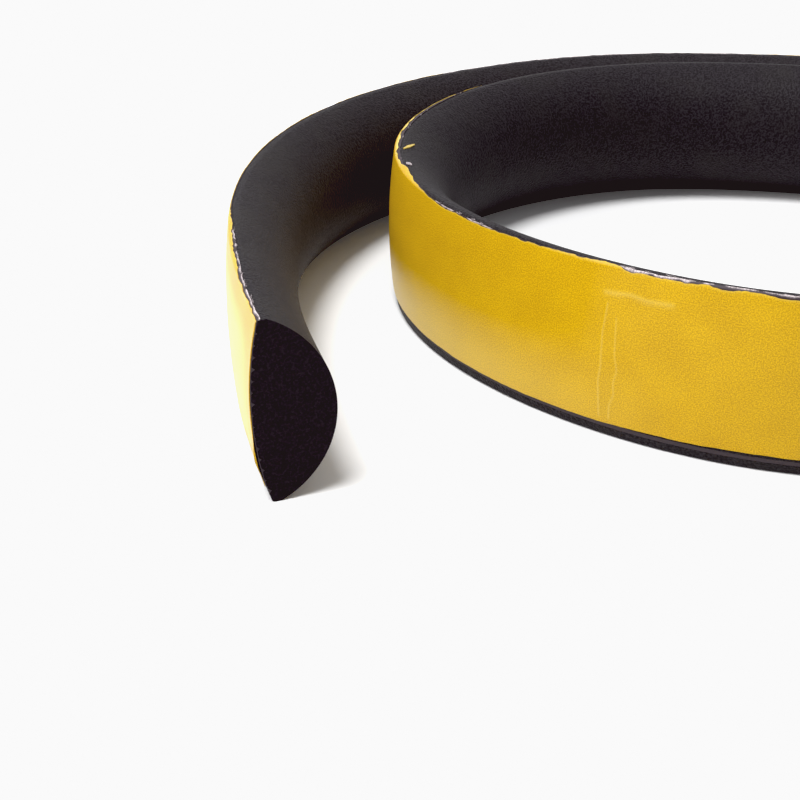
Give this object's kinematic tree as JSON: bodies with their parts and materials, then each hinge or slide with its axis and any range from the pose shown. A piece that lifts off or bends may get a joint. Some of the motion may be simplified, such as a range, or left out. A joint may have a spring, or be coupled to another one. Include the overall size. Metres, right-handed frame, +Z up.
{
  "type": "sponge rubber seal strip",
  "caption": "Half-round sponge rubber strip with an adhesive back under a release liner, stood on edge in a loose coil; cut to length to cushion or seal a gap.",
  "frame": {"origin": "middle of the coil's box, on the ground that the strip's lower edge stands on", "axes": "+Z up across the strip's width, +Y away from the side that shows the free end, +X along the coil's long side with the free end at -X"},
  "size_m": [0.2398, 0.161, 0.0313],
  "materials": {
    "sponge_rubber": "matte black closed-cell sponge with a fine grain",
    "adhesive": "pale grey acrylic adhesive with torn edges",
    "liner_paper": "amber coated release paper with a low sheen"
  },
  "bodies": {
    "root": {"sponge_strip": "sponge_rubber", "adhesive_layer": "adhesive", "release_liner": "liner_paper"}
  },
  "joints": []
}
